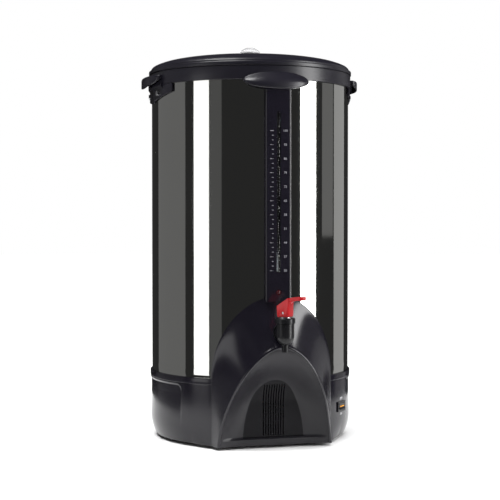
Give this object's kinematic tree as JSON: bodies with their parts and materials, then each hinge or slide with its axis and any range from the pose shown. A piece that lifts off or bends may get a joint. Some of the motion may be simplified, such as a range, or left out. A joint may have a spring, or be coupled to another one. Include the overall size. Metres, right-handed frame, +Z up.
{
  "type": "coffee urn",
  "caption": "Steel coffee urn on a black moulded base, with a sight gauge and lever tap in front, a ready lamp, a rocker switch, two side grips and a domed lid over a percolator.",
  "frame": {"origin": "on the table, under the tank's axis", "axes": "+Z up along the tank's axis, -Y towards the tap, +X towards the switch's side"},
  "size_m": [0.304, 0.3381, 0.5393],
  "materials": {
    "steel": "polished",
    "heater_metal": "satin",
    "zinc_steel": "zinc plated",
    "ceramic": "matte",
    "mains_insulation": "satin",
    "heater_insulation": "satin",
    "lamp_insulation": "satin",
    "gloss_black": "gloss",
    "satin_black": "satin",
    "rubber": "matte",
    "gauge_clear": "gloss",
    "knob_clear": "gloss",
    "lamp_red": "translucent",
    "lever_red": "gloss",
    "seat_white": "matte",
    "spring_steel": "satin",
    "lens_amber": "translucent",
    "pin_brass": "nickel plated"
  },
  "bodies": {
    "urn": {"tank": "steel", "heating_well": "steel", "perk_heater": "heater_metal", "warm_heater": "heater_metal", "heater_clamp": "zinc_steel", "clamp_nut": "zinc_steel", "thermostat": "ceramic", "warm_thermostat": "ceramic", "thermal_fuse": "ceramic", "terminal_block": "ceramic", "mains_leads": "mains_insulation", "heater_leads": "heater_insulation", "lamp_leads": "lamp_insulation", "base_housing": "gloss_black", "bottom_plate": "satin_black", "feet": "rubber", "bottom_screws": "zinc_steel", "front_cowl": "gloss_black", "gauge_panel": "gloss_black", "gauge_glass": "gauge_clear", "gauge_seal": "rubber", "gauge_cap": "rubber", "gauge_elbow": "satin_black", "elbow_nut": "zinc_steel", "elbow_gasket": "rubber", "ready_lamp": "lamp_red", "collar": "gloss_black", "handle_left": "gloss_black", "handle_right": "gloss_black", "handle_screws": "zinc_steel", "handle_nuts": "zinc_steel", "faucet_shank": "satin_black", "shank_gaskets": "rubber", "shank_nut": "zinc_steel", "faucet_body": "satin_black", "bonnet": "satin_black", "stem_spring": "spring_steel", "switch_case": "satin_black", "power_inlet": "satin_black", "inlet_pins": "pin_brass"},
    "pump": {"pump_base": "steel", "pump_tube": "steel", "basket_stop": "steel"},
    "pump_valve": {"pump_valve": "zinc_steel"},
    "basket": {"basket": "steel"},
    "spreader": {"spreader": "steel"},
    "lid": {"lid": "gloss_black", "lid_knob": "knob_clear", "knob_nut": "zinc_steel"},
    "turn_washer": {"turn_washer": "zinc_steel"},
    "stem": {"faucet_stem": "zinc_steel", "seat_cup": "seat_white", "lever_pin": "zinc_steel"},
    "lever": {"lever": "lever_red"},
    "rocker": {"switch_rocker": "satin_black", "switch_lens": "lens_amber"}
  },
  "joints": [
    {"name": "pump_lift", "type": "slide", "parent": "urn", "child": "pump", "axis": [0, 0, 1], "range_m": [0, 0.4]},
    {"name": "valve_lift", "type": "slide", "parent": "pump", "child": "pump_valve", "axis": [0, 0, 1], "range_m": [0, 0.0015]},
    {"name": "basket_lift", "type": "slide", "parent": "pump", "child": "basket", "axis": [0, 0, 1], "range_m": [0, 0.14]},
    {"name": "spreader_lift", "type": "slide", "parent": "basket", "child": "spreader", "axis": [0, 0, 1], "range_m": [0, 0.1]},
    {"name": "lid_lift", "type": "slide", "parent": "spreader", "child": "lid", "axis": [0, 0, 1], "range_m": [0, 0.15]},
    {"name": "lever_swivel", "type": "hinge", "parent": "urn", "child": "turn_washer", "pos_m": [0, -0.175, 0.175], "axis": [0, 0, 1], "range_deg": [-146, 54]},
    {"name": "stem_rise", "type": "slide", "parent": "turn_washer", "child": "stem", "axis": [0, 0, 1], "range_m": [0, 0.0038], "deforming": ["stem_spring"]},
    {"name": "lever_tilt", "type": "hinge", "parent": "stem", "child": "lever", "pos_m": [0, -0.175, 0.18145], "axis": [0.6947, 0.7193, 0], "range_deg": [0, 30], "stiffness_Nm_per_rad": 0.0316, "springref_deg": -23.66},
    {"name": "rocker_tip", "type": "hinge", "parent": "urn", "child": "rocker", "pos_m": [0.10226, -0.09207, 0.0465], "axis": [0.6691, 0.7431, 0], "range_deg": [0, 16]}
  ],
  "couplings": [
    {"joint": "lever_tilt", "follows": "stem_rise", "rad_per_m": 137.78}
  ]
}
